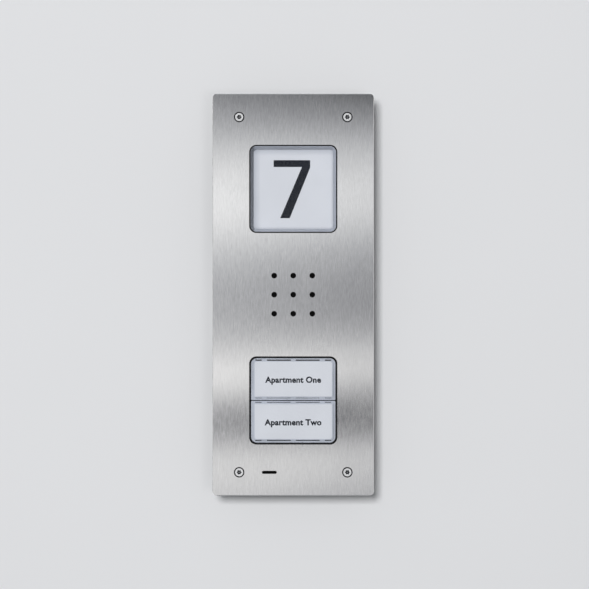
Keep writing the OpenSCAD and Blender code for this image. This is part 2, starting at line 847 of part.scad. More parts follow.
module board_screws() {
    color("silver") for (x = [-1, 1], z = board_screw_rows)
        translate([x * board_screw_x, 0, z]) difference() {
            union() {
                bar(2.5, carrier_back + 1.5, board_back + eps);
                bar(4.8, board_back, board_back + 1.6);
            }
            for (turn = [0, 90]) rotate([0, turn, 0]) block(2.8, 0.7, board_back + 0.8, board_back + 2);
        }
}

module light_diodes() {
    color([1, 1, 0.9]) {
        at_number_lights() block(3.5, 2.8, board_front - 0.8, board_front);
        for (side = [-1, 1], x = [-1, 1])
            at_button(side) block(3.5, 2.8, board_front - 0.8, board_front, x * 10);
    }
}

module at_number_lights() {
    translate([0, 0, window_z]) at_corners(26, 26) children();
}

// Each chip is [x, z, width, height, thickness]
chips = [
    [-22, 30, 10, 10, 1.4], [-22, 48, 7, 7, 1], [14, 42, 5, 6, 1.5], [24, -50, 6.5, 6, 2.4],
    [-26, -66, 4, 5, 1.6], [-6, 70, 5, 4, 1.2]
];

module board_chips() {
    color([0.1, 0.1, 0.1]) for (c = chips) block(c[2], c[3], board_back, board_back + c[4], c[0], c[1]);
}

// Each capacitor is [x, z, diameter, height]
capacitors = [[-28, -48, 8, 7], [-18, -48, 6.3, 5.8], [26, 52, 6.3, 5.8]];

module electrolytic_capacitors() {
    color("lightsteelblue") for (c = capacitors) translate([c[0], 0, c[1]]) {
        block(c[2] + 0.4, c[2] + 0.4, board_back, board_back + 0.9);
        bar(c[2], board_back + 0.9 - eps, board_back + c[3]);
    }
}

module bus_choke() {
    color([0.3, 0.3, 0.32]) translate([26, 0, -68]) {
        bar(12, board_back, board_back + 1);
        bar(7, board_back + 1 - eps, board_back + 5 + eps);
        bar(12, board_back + 5, board_back + 6);
    }
    color("peru") translate([26, 0, -68]) difference() {
        bar(10.6, board_back + 1, board_back + 5);
        bar(7, board_back, board_back + 6);
    }
}

module at_terminals() {
    for (i = [0:terminal_poles - 1])
        translate([(i - (terminal_poles - 1) / 2) * terminal_pitch, 0, terminal_z]) children();
}

module terminal_block() {
    color("seagreen") difference() {
        block(terminal_poles * terminal_pitch + 1, 8, board_back, board_back + terminal_t, 0, terminal_z);
        at_terminals() {
            bar(3.6, board_back + 3, board_back + terminal_t + 1);
            translate([0, y_at(board_back + 2.6), 0]) cylinder(d = 2.6, h = 5);
        }
    }
}

module terminal_screws() {
    seat = board_back + 4.4;
    color("gainsboro") at_terminals() difference() {
        union() {
            bar(3.4, seat, seat + 2);
            bar(2.4, seat - 0.3, seat + eps);
        }
        block(4, 0.6, seat + 1.1, seat + 3);
    }
}

module volume_control_base() {
    color("royalblue") difference() {
        block(7, 7, board_back, board_back + 3.5, dial_x, dial_z);
        bar(5.2, board_back + 1.2, board_back + 5, dial_x, dial_z);
    }
}

module volume_dial() {
    color("white") difference() {
        bar(5, board_back + 1.3, board_back + 3.9, dial_x, dial_z);
        block(4, 0.8, board_back + 3.1, board_back + 5, dial_x, dial_z);
        block(0.8, 2.4, board_back + 3.1, board_back + 5, dial_x, dial_z + 0.8);
    }
}

// ---- Nodes ---------------------------------------------------------------------------------

front_plate();
front_screws();
screw_seals();
plate_gasket();
rear_housing();
threaded_inserts();
wall_seal();
cable_grommet();
inner_carrier();
carrier_nuts();
number_bezel();
number_cover();
house_number_digit();
number_film();
number_diffuser();
upper_button_cover();
upper_name_label();
upper_button_body();
upper_button_diffuser();
lower_button_cover();
lower_name_label();
lower_button_body();
lower_button_diffuser();
upper_button_springs();
lower_button_springs();
button_guide_plate();
upper_switch_body();
upper_switch_plunger();
lower_switch_body();
lower_switch_plunger();
speaker_mesh();
speaker_gasket();
speaker_basket();
speaker_magnet();
speaker_cone();
speaker_screws();
speaker_leads();
microphone_boot();
microphone_capsule();
microphone_felt();
microphone_leads();
circuit_board();
board_screws();
light_diodes();
board_chips();
electrolytic_capacitors();
bus_choke();
terminal_block();
terminal_screws();
volume_control_base();
volume_dial();
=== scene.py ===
"""Looks and studio for a wall-mounted door intercom panel in brushed steel."""

import json

import bpy
import numpy as np
from bpy.props import FloatProperty, FloatVectorProperty, PointerProperty, StringProperty
from bpy.types import Operator, Panel, PropertyGroup
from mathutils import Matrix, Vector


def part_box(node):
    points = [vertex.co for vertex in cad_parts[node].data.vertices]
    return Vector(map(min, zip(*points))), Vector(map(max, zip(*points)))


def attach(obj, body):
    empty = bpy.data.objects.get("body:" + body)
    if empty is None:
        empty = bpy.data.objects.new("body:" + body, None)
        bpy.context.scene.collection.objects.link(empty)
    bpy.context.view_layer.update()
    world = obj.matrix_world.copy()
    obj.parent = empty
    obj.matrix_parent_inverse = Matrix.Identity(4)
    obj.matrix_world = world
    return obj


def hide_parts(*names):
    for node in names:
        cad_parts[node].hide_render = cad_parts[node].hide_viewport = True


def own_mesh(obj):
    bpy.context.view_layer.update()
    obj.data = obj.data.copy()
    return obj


bl_info = {
    "name": "Door Intercom Panel",
    "version": (1, 0, 0),
    "blender": (4, 5, 0),
    "location": "3D View > Sidebar > Intercom",
    "description": "Dresses the door intercom panel and sets up its studio",
    "category": "Object",
}

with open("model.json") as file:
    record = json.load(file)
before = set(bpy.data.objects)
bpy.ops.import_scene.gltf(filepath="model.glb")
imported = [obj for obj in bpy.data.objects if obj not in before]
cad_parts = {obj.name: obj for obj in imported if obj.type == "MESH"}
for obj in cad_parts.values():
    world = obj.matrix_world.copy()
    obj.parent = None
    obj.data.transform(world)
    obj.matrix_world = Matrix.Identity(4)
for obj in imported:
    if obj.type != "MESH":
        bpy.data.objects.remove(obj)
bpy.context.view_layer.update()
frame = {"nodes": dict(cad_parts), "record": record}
PLATE_LOW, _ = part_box("front_plate")
MILLIMETRE = 0.001


# ---- Sizes and colours a user would change --------------------------------------------------


class IntercomFinish(PropertyGroup):
    """Colours and grain sizes of the panel's materials, and the sizes of its small pieces."""

    steel_color: FloatVectorProperty(
        name="Steel", description="Colour of the brushed front plate",
        subtype="COLOR", size=3, min=0, max=1, default=(0.62, 0.622, 0.626))
    steel_roughness: FloatProperty(
        name="Steel roughness", description="Roughness of the brushed plate",
        min=0.02, max=1, default=0.1)
    brush_width: FloatProperty(
        name="Brush line width", description="Width of one brush line",
        unit="LENGTH", min=0.00005, max=0.005, default=0.00035)
    brush_length: FloatProperty(
        name="Brush line length", description="Length of one brush line",
        unit="LENGTH", min=0.001, max=0.2, default=0.004)
    screw_color: FloatVectorProperty(
        name="Screws", description="Colour of the front screws",
        subtype="COLOR", size=3, min=0, max=1, default=(0.68, 0.682, 0.69))
    black_color: FloatVectorProperty(
        name="Black mouldings", description="Colour of the black plastic parts",
        subtype="COLOR", size=3, min=0, max=1, default=(0.008, 0.008, 0.009))
    housing_color: FloatVectorProperty(
        name="Housing", description="Colour of the rear housing",
        subtype="COLOR", size=3, min=0, max=1, default=(0.035, 0.037, 0.04))
    bezel_color: FloatVectorProperty(
        name="Number frame", description="Colour of the frame round the house number",
        subtype="COLOR", size=3, min=0, max=1, default=(0.42, 0.45, 0.52))
    label_color: FloatVectorProperty(
        name="Label film", description="Colour of the label and number films",
        subtype="COLOR", size=3, min=0, max=1, default=(0.624, 0.623, 0.644))
    # Colour of the painted shade towards the number film's edges
    film_edge_shade_color: FloatVectorProperty(
        name="Film edge", description="Colour towards the edges of the lit films",
        subtype="COLOR", size=3, min=0, max=1, default=(0.2, 0.22, 0.27))
    label_glow: FloatProperty(
        name="Label glow", description="Strength of the light behind the films",
        min=0, max=5, default=0.03)
    print_color: FloatVectorProperty(
        name="Print", description="Colour of the digit and the label text",
        subtype="COLOR", size=3, min=0, max=1, default=(0.016, 0.018, 0.024))
    clear_tint: FloatVectorProperty(
        name="Clear covers", description="Tint of the clear covers",
        subtype="COLOR", size=3, min=0, max=1, default=(0.93, 0.96, 1.0))
    upper_text: StringProperty(
        name="Upper label", description="Words on the upper button", default="Apartment One")
    lower_text: StringProperty(
        name="Lower label", description="Words on the lower button", default="Apartment Two")
    text_height: FloatProperty(
        name="Text height", description="Height of the label's capitals",
        unit="LENGTH", min=0.001, max=0.01, default=0.0037)
    spring_wire: FloatProperty(
        name="Spring wire", description="Thickness of the button springs' wire",
        unit="LENGTH", min=0.0002, max=0.0006, default=0.0004)
    spring_turns: FloatProperty(
        name="Spring turns", description="Turns of a button spring, with a closed one at each end",
        min=3, max=6, default=5.5)


class IntercomStudio(PropertyGroup):
    """The wall, the camera and the lights."""

    view_width: FloatProperty(
        name="View width", description="Width that the camera sees at the front plate",
        unit="LENGTH", min=0.05, max=5, default=0.3647)
    view_distance: FloatProperty(
        name="View distance", description="Distance from the camera to the front plate",
        unit="LENGTH", min=0.3, max=10, default=1.5)
    wall_color: FloatVectorProperty(
        name="Wall", description="Colour of the wall",
        subtype="COLOR", size=3, min=0, max=1, default=(0.697, 0.7, 0.713))
    key_power: FloatProperty(
        name="Key light", description="Power of the key softbox",
        unit="POWER", min=0, max=1000, default=97)
    sky_strength: FloatProperty(
        name="Sky", description="Strength of the even light all round",
        min=0, max=10, default=0.25)
    mirrored_sky: FloatProperty(
        name="Mirrored sky", description="Strength of the sky that metal mirrors",
        min=0, max=10, default=0.95)
    card_strength: FloatProperty(
        name="Reflection card", description="Brightness of the card that the steel mirrors",
        min=0, max=10, default=1.34)
    side_strength: FloatProperty(
        name="Side cards", description="Brightness of the cards that the plate's rim mirrors",
        min=0, max=10, default=0.9)


# ---- Node helpers ---------------------------------------------------------------------------


def add_node(tree, kind, inputs=None, **settings):
    """Adds a node. inputs maps socket names or numbers to values or to sockets that feed them."""
    node = tree.nodes.new(kind)
    for name, value in settings.items():
        setattr(node, name, value)
    for name, value in (inputs or {}).items():
        if isinstance(value, bpy.types.NodeSocket):
            tree.links.new(value, node.inputs[name])
        else:
            node.inputs[name].default_value = value
    return node


def object_place(tree):
    """Object coordinates: a node's own place in the frame, in metres, before any joint moves it."""
    return add_node(tree, "ShaderNodeTexCoord").outputs["Object"]


def parts_of(tree, vector):
    """The X, Y and Z of a vector, by those names."""
    return add_node(tree, "ShaderNodeSeparateXYZ", {"Vector": vector}).outputs


def arithmetic(tree, operation, a, b=0.0):
    """The output of a Math node."""
    return add_node(tree, "ShaderNodeMath", {0: a, 1: b}, operation=operation).outputs[0]


def mapped(tree, value, low, high, to_low=0.0, to_high=1.0):
    """value moved from one range to another, and held inside it."""
    node = add_node(tree, "ShaderNodeMapRange", {
        "Value": value, "From Min": low, "From Max": high, "To Min": to_low, "To Max": to_high})
    return node.outputs["Result"]


def mixed(tree, factor, first, second):
    """A number that goes from first to second as factor goes from 0 to 1."""
    return add_node(tree, "ShaderNodeMix", {0: factor, 2: first, 3: second}).outputs[0]


def blended(tree, factor, first, second, how="MIX"):
    """The colour output of a Mix node."""
    node = add_node(
        tree, "ShaderNodeMix", {0: factor, 6: first, 7: second}, data_type="RGBA", blend_type=how)
    return node.outputs[2]


def bumped(tree, height, strength, distance):
    """The normal from a Bump node."""
    node = add_node(tree, "ShaderNodeBump", {
        "Height": height, "Strength": strength, "Distance": distance})
    return node.outputs["Normal"]


def opaque(color, scale=1.0):
    """An RGBA colour from three numbers, made lighter or darker."""
    return (color[0] * scale, color[1] * scale, color[2] * scale, 1.0)


def shaded(tree, factor, color, at_zero, at_one):
    """color times at_zero where factor is 0, times at_one where it is 1, and blended between."""
    return blended(tree, factor, opaque(color, at_zero), opaque(color, at_one))


def new_group(name, inputs, outputs):
    """An empty shader node group with these (name, kind, default) inputs and (name, kind) outputs."""
    tree = bpy.data.node_groups.new(name, "ShaderNodeTree")
    for label, kind, default in inputs:
        socket = tree.interface.new_socket(name=label, in_out="INPUT", socket_type=kind)
        if default is not None:
            socket.default_value = default
    for label, kind in outputs:
        tree.interface.new_socket(name=label, in_out="OUTPUT", socket_type=kind)
    entry = tree.nodes.new("NodeGroupInput")
    leave = tree.nodes.new("NodeGroupOutput")
    return tree, entry.outputs, leave.inputs


def stretched_noise(tree, vector, across, along, detail, roughness=0.5):
    """Noise whose blobs are across wide in X and Y and along tall in Z. Both are sockets."""
    size = add_node(tree, "ShaderNodeCombineXYZ", {"X": across, "Y": across, "Z": along}).outputs[0]
    place = add_node(tree, "ShaderNodeVectorMath", {0: vector, 1: size}, operation="DIVIDE").outputs[0]
    node = add_node(tree, "ShaderNodeTexNoise", {
        "Vector": place, "Scale": 1.0, "Detail": detail, "Roughness": roughness})
    return node.outputs["Fac"]


FLOAT, VECTOR = "NodeSocketFloat", "NodeSocketVector"


def brush_lines_group():
    """Brush lines along Z: fine ones one line wide, and broad ones four times as wide and three times as
    long."""
    tree, entry, leave = new_group(
        "Brush Lines",
        [("Vector", VECTOR, None), ("Line Width", FLOAT, 0.0005), ("Line Length", FLOAT, 0.02)],
        [("Fine", FLOAT), ("Broad", FLOAT)])
    wider, longer = 4.0, 3.0
    wide = arithmetic(tree, "MULTIPLY", entry["Line Width"], wider)
    tall = arithmetic(tree, "MULTIPLY", entry["Line Length"], longer)
    fine = stretched_noise(tree, entry["Vector"], entry["Line Width"], entry["Line Length"], 2.0, 0.6)
    broad = stretched_noise(tree, entry["Vector"], wide, tall, 1.0)
    tree.links.new(mapped(tree, fine, 0.25, 0.75), leave["Fine"])
    tree.links.new(mapped(tree, broad, 0.3, 0.7), leave["Broad"])
    return tree


def moulded_grain_group():
    """Spark-eroded grain: even noise a grain across, and a slow unevenness forty grains across."""
    tree, entry, leave = new_group(
        "Moulded Grain",
        [("Vector", VECTOR, None), ("Grain Size", FLOAT, 0.0004)],
        [("Height", FLOAT), ("Unevenness", FLOAT)])
    slower = 40.0
    large = arithmetic(tree, "MULTIPLY", entry["Grain Size"], slower)
    grain = stretched_noise(tree, entry["Vector"], entry["Grain Size"], entry["Grain Size"], 3.0, 0.6)
    slow = stretched_noise(tree, entry["Vector"], large, large, 2.0)
    tree.links.new(grain, leave["Height"])
    tree.links.new(mapped(tree, slow, 0.3, 0.7), leave["Unevenness"])
    return tree


def smudges_group():
    """Faint patches where hands and cloths have been: a noise of patches times one of upright streaks."""
    tree, entry, leave = new_group(
        "Smudges", [("Vector", VECTOR, None), ("Patch Size", FLOAT, 0.03)], [("Amount", FLOAT)])
    streak_share = 0.12
    streak = arithmetic(tree, "MULTIPLY", entry["Patch Size"], streak_share)
    patches = stretched_noise(tree, entry["Vector"], entry["Patch Size"], entry["Patch Size"], 3.0)
    streaks = stretched_noise(tree, entry["Vector"], streak, entry["Patch Size"], 4.0, 0.7)
    amount = arithmetic(tree, "MULTIPLY", mapped(tree, patches, 0.48, 0.68), streaks)
    tree.links.new(amount, leave["Amount"])
    return tree


GROUP_MAKERS = {
    "Brush Lines": brush_lines_group, "Moulded Grain": moulded_grain_group, "Smudges": smudges_group}


def placed_group(tree, name, **inputs):
    """A node of one of the shared groups, read at Object coordinates. Names with _ stand for spaces."""
    shared = bpy.data.node_groups.get(name) or GROUP_MAKERS[name]()
    node = add_node(tree, "ShaderNodeGroup", node_tree=shared)
    tree.links.new(object_place(tree), node.inputs["Vector"])
    for label, value in inputs.items():
        node.inputs[label.replace("_", " ")].default_value = value
    return node.outputs


def start_material(name, **constants):
    """A new material: its tree and its Principled node, with these constants set on the node."""
    made = bpy.data.materials.new(name)
    made.use_nodes = True
    tree = made.node_tree
    shader = tree.nodes["Principled BSDF"]
    for label, value in constants.items():
        shader.inputs[label.replace("_", " ")].default_value = value
    return made, tree, shader


def feed(tree, shader, **links):
    """Links values to the Principled node's inputs. Names with _ stand for spaces."""
    for label, socket in links.items():
        tree.links.new(socket, shader.inputs[label.replace("_", " ")])


# ---- Materials ------------------------------------------------------------------------------


def brushed_plate(finish):
    """Stainless plate, brushed along its height, with faint smudges."""
    made, tree, shader = start_material("Brushed Stainless", Metallic=1.0, Anisotropic=0.85)
    lines = placed_group(
        tree, "Brush Lines", Line_Width=finish.brush_width, Line_Length=finish.brush_length)
    smudges = placed_group(tree, "Smudges", Patch_Size=0.035)
    fine = shaded(tree, lines["Fine"], finish.steel_color, 0.9, 1.1)
    broad = shaded(tree, lines["Broad"], (1, 1, 1), 0.985, 1.0)
    shade = blended(tree, 1.0, fine, broad, "MULTIPLY")
    smudge_dullness = 0.05
    brushed = mixed(tree, lines["Fine"], finish.steel_roughness - 0.01, finish.steel_roughness + 0.03)
    smudged = arithmetic(tree, "MULTIPLY", smudges["Amount"], smudge_dullness)
    rough = arithmetic(tree, "ADD", brushed, smudged)
    feed(tree, shader, Base_Color=shade, Roughness=rough,
         Normal=bumped(tree, lines["Fine"], strength=0.07, distance=0.00002))
    return made


def machined_metal(name, color, roughness):
    """Turned or plated metal with a fine grain and a slight unevenness."""
    made, tree, shader = start_material(name, Metallic=1.0, Anisotropic=0.3)
    grain = placed_group(tree, "Moulded Grain", Grain_Size=0.0003)
    shade = shaded(tree, grain["Unevenness"], color, 0.88, 1.05)
    rough = mapped(tree, grain["Height"], 0.3, 0.7, roughness - 0.06, roughness + 0.06)
    feed(tree, shader, Base_Color=shade, Roughness=rough,
         Normal=bumped(tree, grain["Height"], strength=0.1, distance=0.00002))
    return made


def screw_metal(finish):
    """Pale plated screws with painted shade in their sockets: darker and rougher with depth."""
    made, tree, shader = start_material("Screw Steel", Metallic=0.35, Anisotropic=0.3)
    grain = placed_group(tree, "Moulded Grain", Grain_Size=0.0003)
    # Painted shade: below a set depth the colour goes to near black, standing for the shade in the sockets
    unshaded_depth, fade_depth = 0.25 * MILLIMETRE, 0.22 * MILLIMETRE
    socket_shade_start = PLATE_LOW.y + unshaded_depth
    depth = parts_of(tree, object_place(tree))["Y"]
    socket_shade = mapped(tree, depth, socket_shade_start, socket_shade_start + fade_depth)
    unshaded = shaded(tree, grain["Unevenness"], finish.screw_color, 0.94, 1.04)
    shade = blended(tree, socket_shade, unshaded, opaque(finish.print_color))
    feed(tree, shader, Base_Color=shade, Roughness=mixed(tree, socket_shade, 0.3, 0.8),
         Normal=bumped(tree, grain["Height"], strength=0.1, distance=0.00002))
    return made


def moulded_plastic(name, color, roughness, grain_size=0.0005, depth=0.00004, **constants):
    """Moulded plastic with a fine spark-eroded grain."""
    made, tree, shader = start_material(name, **constants)
    grain = placed_group(tree, "Moulded Grain", Grain_Size=grain_size)
    shade = shaded(tree, grain["Unevenness"], color, 0.9, 1.1)
    rough = mixed(tree, grain["Unevenness"], roughness - 0.05, roughness + 0.05)
    feed(tree, shader, Base_Color=shade, Roughness=rough,
         Normal=bumped(tree, grain["Height"], strength=0.3, distance=depth))
    return made


def foam(name, color):
    """Closed-cell foam: rounded cells with dark walls between them."""
    made, tree, shader = start_material(name, Roughness=0.9)
    cells_a_metre = 2200.0
    cells = add_node(tree, "ShaderNodeTexVoronoi", {
        "Vector": object_place(tree), "Scale": cells_a_metre}).outputs["Distance"]
    shade = shaded(tree, cells, color, 1.3, 0.5)
    feed(tree, shader, Base_Color=shade, Normal=bumped(tree, cells, strength=0.5, distance=0.00008))
    return made


def clear_plastic(finish):
    """Polished clear plastic with faint wipe marks in its gloss."""
    made, tree, shader = start_material(
        "Clear Plastic", Base_Color=opaque(finish.clear_tint), IOR=1.22, Transmission_Weight=1.0)
    smudges = placed_group(tree, "Smudges", Patch_Size=0.02)
    feed(tree, shader, Roughness=mixed(tree, smudges["Amount"], 0.015, 0.06))
    return made


def painted_edge_shade(tree, low, high, shade_fades):
    """Painted shade for a film: 1 over most of it, falling to a half at its edges: the product of four ramps,
    each a fade wide, at the left, right, bottom and top edges of the film between low and high."""
    parts = parts_of(tree, object_place(tree))
    left, right, bottom, top = shade_fades
    shade = 1.0
    for axis, edge, inner in (
            ("X", low.x, low.x + left), ("X", high.x, high.x - right),
            ("Z", low.z, low.z + bottom), ("Z", high.z, high.z - top)):
        shade = arithmetic(tree, "MULTIPLY", mapped(tree, parts[axis], edge, inner, 0.5, 1.0), shade)
    return shade


def lit_film(finish, name, node=None, shade_fades=None):
    """White film lit from behind, with a satin grain. With shade fades, its edges get painted shade: its
    colour and glow go darker towards them."""
    made, tree, shader = start_material(name, Roughness=0.45, Emission_Strength=finish.label_glow)
    grain = placed_group(tree, "Moulded Grain", Grain_Size=0.0006)
    shade = shaded(tree, grain["Unevenness"], finish.label_color, 0.97, 1.03)
    if shade_fades:
        # Painted shade: the film's colour and glow darken towards its edges
        low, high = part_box(node)
        shade = blended(tree, painted_edge_shade(tree, low, high, shade_fades), opaque(finish.film_edge_shade_color), shade)
    feed(tree, shader, Base_Color=shade, Emission_Color=shade,
         Normal=bumped(tree, grain["Height"], strength=0.08, distance=0.00002))
    return made


# Scale of a wave texture whose bands are 0.35 mm apart
FINE_WAVES = 900.0


def dust_cloth(name, color):
    """Woven cloth: two crossed sets of threads, each a row of rounded ridges."""
    made, tree, shader = start_material(name, Roughness=0.95, Specular_IOR_Level=0.1)
    place = object_place(tree)
    threads = [
        add_node(tree, "ShaderNodeTexWave", {
            "Vector": place, "Scale": FINE_WAVES, "Distortion": 0.4}, bands_direction=axis).outputs["Fac"]
        for axis in ("X", "Z")]
    weave = arithmetic(tree, "MAXIMUM", threads[0], threads[1])
    shade = shaded(tree, weave, color, 0.4, 1.6)
    feed(tree, shader, Base_Color=shade, Normal=bumped(tree, weave, strength=0.6, distance=0.0001))
    return made


def circuit_board():
    """Green solder resist over copper: patches of parallel tracks, each patch along X, along Z or bare, and
    small tinned pads scattered between them."""
    made, tree, shader = start_material("Solder Resist", Roughness=0.3, Coat_Weight=0.3)
    place = object_place(tree)
    parts = parts_of(tree, place)
    track_pitch, track_share = 0.0011, 0.42
    patch_size, patches_each_way = 0.016, 0.35
    pad_spacing, pad_radius = 0.0075, 0.0006
    patch = add_node(
        tree, "ShaderNodeTexVoronoi", {"Vector": place, "Scale": 1 / patch_size}, distance="CHEBYCHEV")
    choice = add_node(tree, "ShaderNodeSeparateColor", {"Color": patch.outputs["Color"]}).outputs["Red"]
    run = {}
    for axis in ("X", "Z"):
        step = arithmetic(tree, "FRACT", arithmetic(tree, "MULTIPLY", parts[axis], 1 / track_pitch))
        run[axis] = arithmetic(tree, "LESS_THAN", step, track_share)
    goes_up = arithmetic(tree, "LESS_THAN", choice, patches_each_way)
    goes_across = arithmetic(tree, "GREATER_THAN", choice, 1 - patches_each_way)
    copper = arithmetic(
        tree, "ADD", arithmetic(tree, "MULTIPLY", run["X"], goes_up),
        arithmetic(tree, "MULTIPLY", run["Z"], goes_across))
    spots = add_node(tree, "ShaderNodeTexVoronoi", {"Vector": place, "Scale": 1 / pad_spacing})
    pad = arithmetic(tree, "LESS_THAN", spots.outputs["Distance"], pad_radius / pad_spacing)
    grain = placed_group(tree, "Moulded Grain", Grain_Size=0.001)
    deep_green, green, bright_green = (0.009, 0.075, 0.03), (0.014, 0.1, 0.042), (0.022, 0.16, 0.065)
    tin = (0.5, 0.49, 0.45)
    resist = blended(tree, grain["Unevenness"], opaque(deep_green), opaque(green))
    tracked = blended(tree, copper, resist, opaque(bright_green))
    shade = blended(tree, pad, tracked, opaque(tin))
    feed(tree, shader, Base_Color=shade, Normal=bumped(tree, copper, strength=0.3, distance=0.00003))
    return made


def wound_choke():
    """Ferrite bobbin with a varnished copper winding round its waist, by depth."""
    made, tree, shader = start_material("Choke", Roughness=0.35)
    low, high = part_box("bus_choke")
    place = object_place(tree)
    depth = parts_of(tree, place)["Y"]
    flange = MILLIMETRE
    inside = arithmetic(
        tree, "MULTIPLY", arithmetic(tree, "GREATER_THAN", depth, low.y + flange),
        arithmetic(tree, "LESS_THAN", depth, high.y - flange))
    turns = add_node(tree, "ShaderNodeTexWave", {
        "Vector": place, "Scale": FINE_WAVES}, bands_direction="Y").outputs["Fac"]
    varnish, bare_copper, ferrite = (0.16, 0.05, 0.015), (0.5, 0.18, 0.06), (0.03, 0.03, 0.032)
    copper = blended(tree, turns, opaque(varnish), opaque(bare_copper))
    shade = blended(tree, inside, opaque(ferrite), copper)
    feed(tree, shader, Base_Color=shade, Metallic=arithmetic(tree, "MULTIPLY", inside, 0.8),
         Normal=bumped(tree, turns, strength=0.4, distance=0.0001))
    return made


def number_frame(finish):
    """Pale semi-gloss moulding, with painted shade on its left wall: its colour is darker there."""
    made, tree, shader = start_material("Pale Moulding", Roughness=0.3)
    low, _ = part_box("number_bezel")
    # Painted shade: the left wall's colour is darkened to stand for the shadow that falls on it
    shaded_wall_width, fade_width, wall_shade_darkness = 3.6 * MILLIMETRE, 0.6 * MILLIMETRE, 0.36
    shaded_wall_end = low.x + shaded_wall_width
    across = parts_of(tree, object_place(tree))["X"]
    painted_wall_shade = mapped(tree, across, shaded_wall_end, shaded_wall_end + fade_width, 1.0, 0.0)
    grain = placed_group(tree, "Moulded Grain", Grain_Size=0.0006)
    pale = shaded(tree, grain["Unevenness"], finish.bezel_color, 0.95, 1.05)
    feed(tree, shader, Base_Color=blended(tree, painted_wall_shade, pale, opaque(finish.bezel_color, wall_shade_darkness)),
         Normal=bumped(tree, grain["Height"], strength=0.1, distance=0.00001))
    return made


# How far in from the left, right, bottom and top edges the number film gets painted shade
NUMBER_FILM_SHADE_FADES = (0.0055, 0.0025, 0.0025, 0.005)


def dress(finish):
    """One material for each slot of the record."""
    return {
        "brushed_stainless": brushed_plate(finish),
        "screw_steel": screw_metal(finish),
        "plated_steel": machined_metal("Plated Steel", (0.7, 0.71, 0.73), 0.3),
        "spring_steel": machined_metal("Spring Steel", (0.6, 0.6, 0.6), 0.22),
        "brass": machined_metal("Brass", (0.75, 0.52, 0.2), 0.28),
        "microphone_can": machined_metal("Microphone Can", (0.8, 0.8, 0.8), 0.25),
        "capacitor_can": machined_metal("Capacitor Sleeve", (0.45, 0.52, 0.6), 0.35),
        "magnet": moulded_plastic("Ferrite Magnet", (0.05, 0.05, 0.055), 0.5, 0.0003),
        "basket": moulded_plastic("Painted Basket", (0.06, 0.06, 0.065), 0.4, 0.0006),
        "black_plastic": moulded_plastic("Black Moulding", finish.black_color, 0.5, Specular_IOR_Level=0.2),
        "housing_plastic": moulded_plastic("Housing Moulding", finish.housing_color, 0.55, 0.0007, 0.00008),
        "black_rubber": moulded_plastic(
            "Rubber", (0.008, 0.008, 0.009), 0.8, 0.0006, Specular_IOR_Level=0.15),
        "foam": foam("Foam", (0.02, 0.02, 0.021)),
        "clear_plastic": clear_plastic(finish),
        "white_plastic": moulded_plastic("White Diffuser", (0.47, 0.485, 0.53), 0.5, 0.0005, 0.00003),
        "pale_plastic": number_frame(finish),
        "label_film": lit_film(finish, "Label Film"),
        "number_film": lit_film(finish, "Number Film", "number_film", NUMBER_FILM_SHADE_FADES),
        "print_black": moulded_plastic(
            "Print", finish.print_color, 0.6, 0.0003, 0.00001, Specular_IOR_Level=0.05),
        "board_green": circuit_board(),
        "chip_black": moulded_plastic("Chip", (0.02, 0.02, 0.022), 0.6, 0.0002),
        "diode_white": moulded_plastic("Light Diode", (0.85, 0.8, 0.45), 0.2, 0.0004),
        "choke": wound_choke(),
        "terminal_green": moulded_plastic("Terminal Moulding", (0.02, 0.2, 0.08), 0.4, 0.0004),
        "cone_film": moulded_plastic("Cone Film", (0.4, 0.36, 0.27), 0.35, 0.0008),
        "dust_cloth": dust_cloth("Dust Cloth", (0.003, 0.003, 0.003)),
        "lead_red": moulded_plastic("Red Insulation", (0.4, 0.02, 0.02), 0.4, 0.0004),
        "lead_blue": moulded_plastic("Blue Insulation", (0.03, 0.08, 0.4), 0.4, 0.0004),
        "trimmer_blue": moulded_plastic("Trimmer Moulding", (0.03, 0.1, 0.4), 0.4, 0.0004),
        "plunger_red": moulded_plastic("Plunger", (0.4, 0.03, 0.03), 0.45, 0.0004),
    }


# ---- Pieces ---------------------------------------------------------------------------------


def new_object(name, data):
    """An object in the scene that holds this mesh, curve, lamp or camera."""
    made = bpy.data.objects.new(name, data)
    bpy.context.scene.collection.objects.link(made)
    return made


def hide_from(piece, *rays):
    """Keeps a piece out of sight of these kinds of ray."""
    for ray in rays:
        setattr(piece, "visible_" + ray, False)


